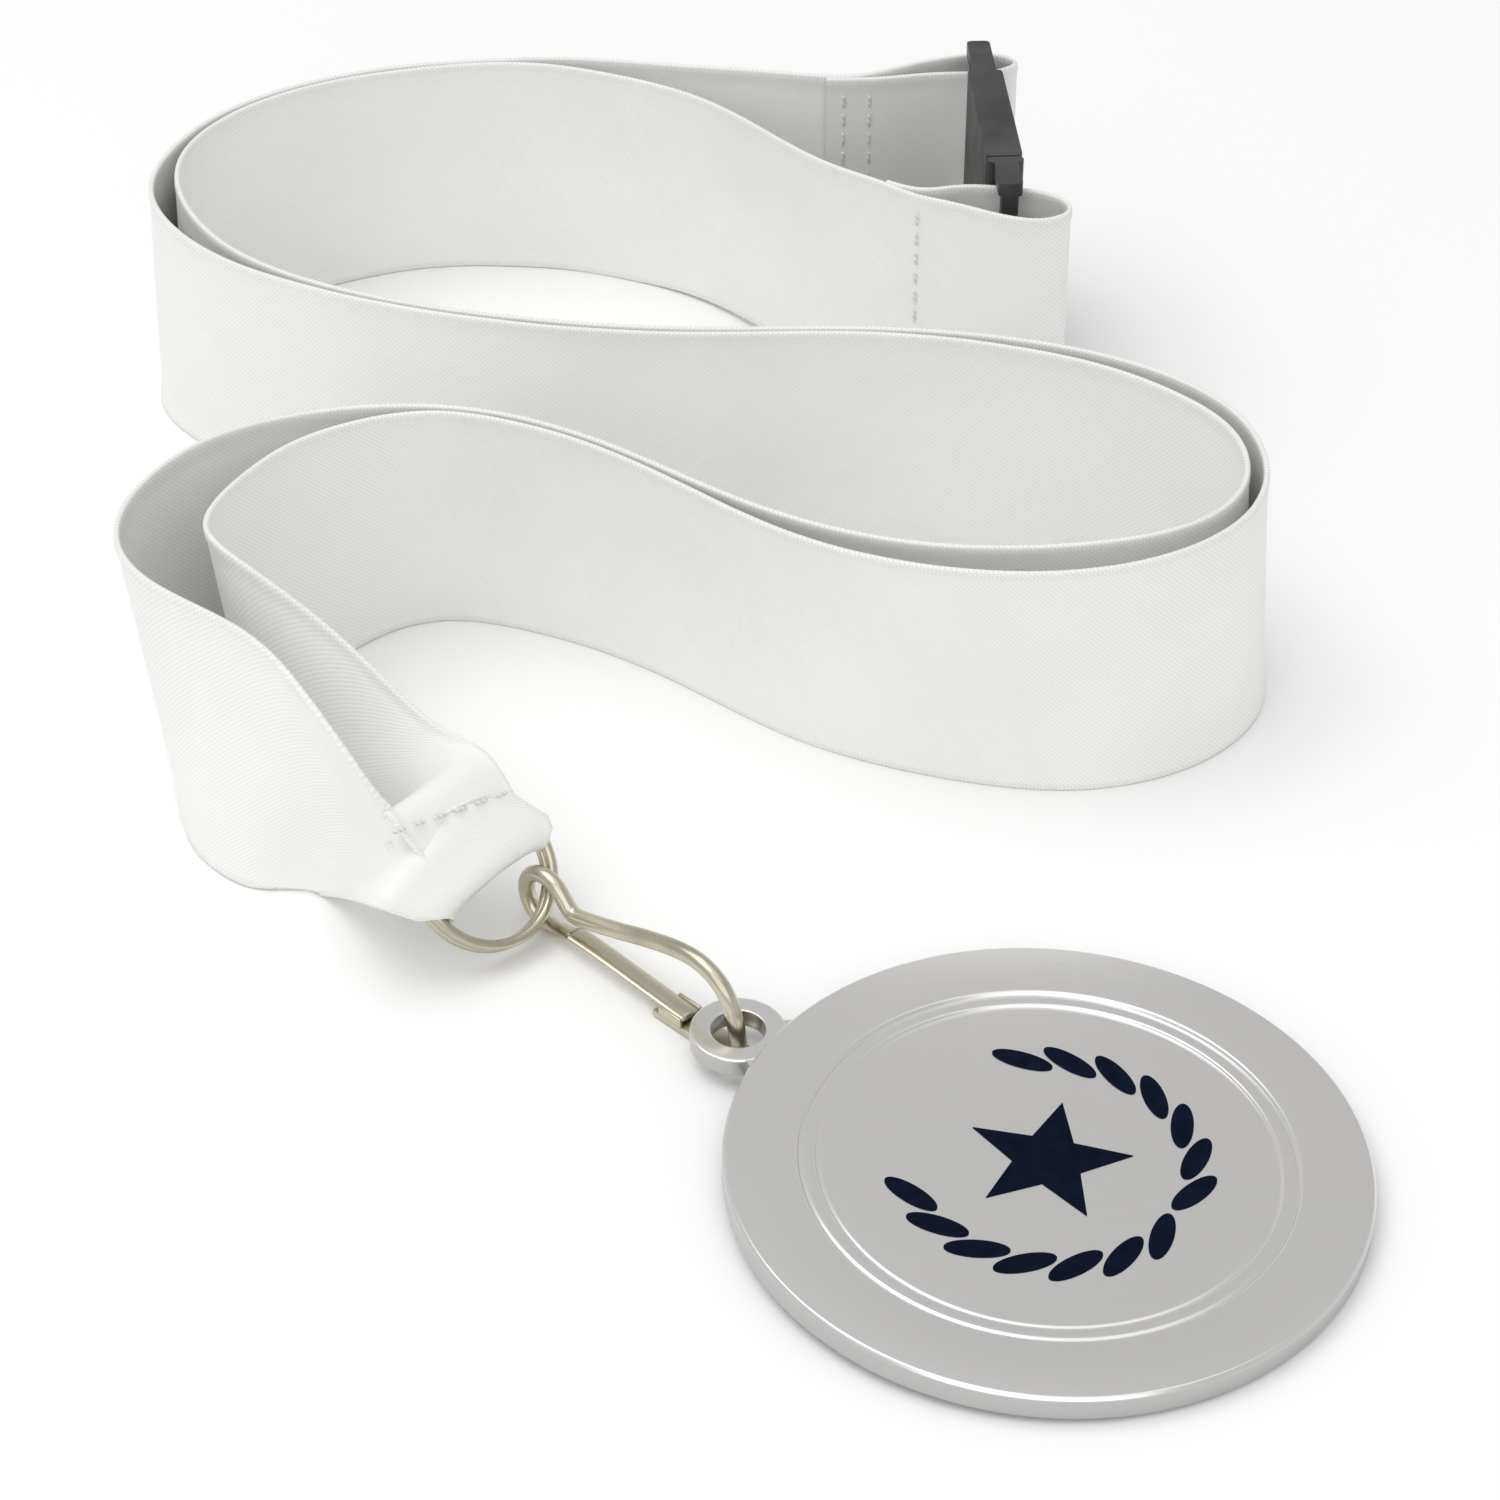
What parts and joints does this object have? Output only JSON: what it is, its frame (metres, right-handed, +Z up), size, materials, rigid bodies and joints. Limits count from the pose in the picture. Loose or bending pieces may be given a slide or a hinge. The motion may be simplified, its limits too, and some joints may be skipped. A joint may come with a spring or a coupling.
{
  "type": "finisher medal on a neck ribbon",
  "caption": "Round polished metal medal with a printed star and laurel, hooked to a split ring on a white satin neck ribbon with a black breakaway clip.",
  "frame": {"origin": "the point of the table straight below the centre of the medal's back face, which is 0.59 mm above it because the medal lies slightly tipped", "axes": "+Z is up from the table, +Y runs from the medal along the ribbon to the clip, +X is to the right seen from the medal"},
  "size_m": [0.1093, 0.1737, 0.0285],
  "materials": {
    "medal_metal": "polished",
    "emblem_ink": "gloss",
    "ring_nickel": "polished",
    "hook_nickel": "polished",
    "ribbon_satin": "satin",
    "thread": "matte",
    "clip_plastic": "satin"
  },
  "bodies": {
    "root": {"ribbon": "ribbon_satin", "stitch_ring_end": "thread", "stitch_back_loop": "thread", "clip_socket": "clip_plastic"},
    "ring": {"split_ring": "ring_nickel"},
    "hook": {"snap_hook": "hook_nickel"},
    "gate": {"snap_gate": "hook_nickel"},
    "medal": {"medal_disc": "medal_metal", "medal_emblem": "emblem_ink"},
    "clip_front": {"clip_plug": "clip_plastic", "ribbon_front_end": "ribbon_satin", "stitch_front_loop": "thread"}
  },
  "joints": [
    {"name": "ring_turn", "type": "hinge", "parent": "root", "child": "ring", "pos_m": [-0.0449, 0.0303, 0.0067], "axis": [0.5162, -0.5346, 0.6691], "range_deg": [-60, 8]},
    {"name": "hook_swing", "type": "hinge", "parent": "ring", "child": "hook", "pos_m": [-0.03978, 0.03079, 0.00335], "axis": [-0.7117, -0.7025, 0], "range_deg": [-50, 45]},
    {"name": "gate_flex", "type": "hinge", "parent": "hook", "child": "gate", "pos_m": [-0.03747, 0.02844, 0.00185], "axis": [-0.7117, -0.7025, 0], "range_deg": [0, 12]},
    {"name": "medal_turn", "type": "hinge", "parent": "hook", "child": "medal", "pos_m": [-0.02378, 0.01457, 0.00125], "axis": [0.0201, -0.0123, 0.9997], "range_deg": [-60, 30]},
    {"name": "clip_release", "type": "slide", "parent": "root", "child": "clip_front", "axis": [0.0489, -0.9988, 0], "range_m": [0, 0.012]}
  ]
}
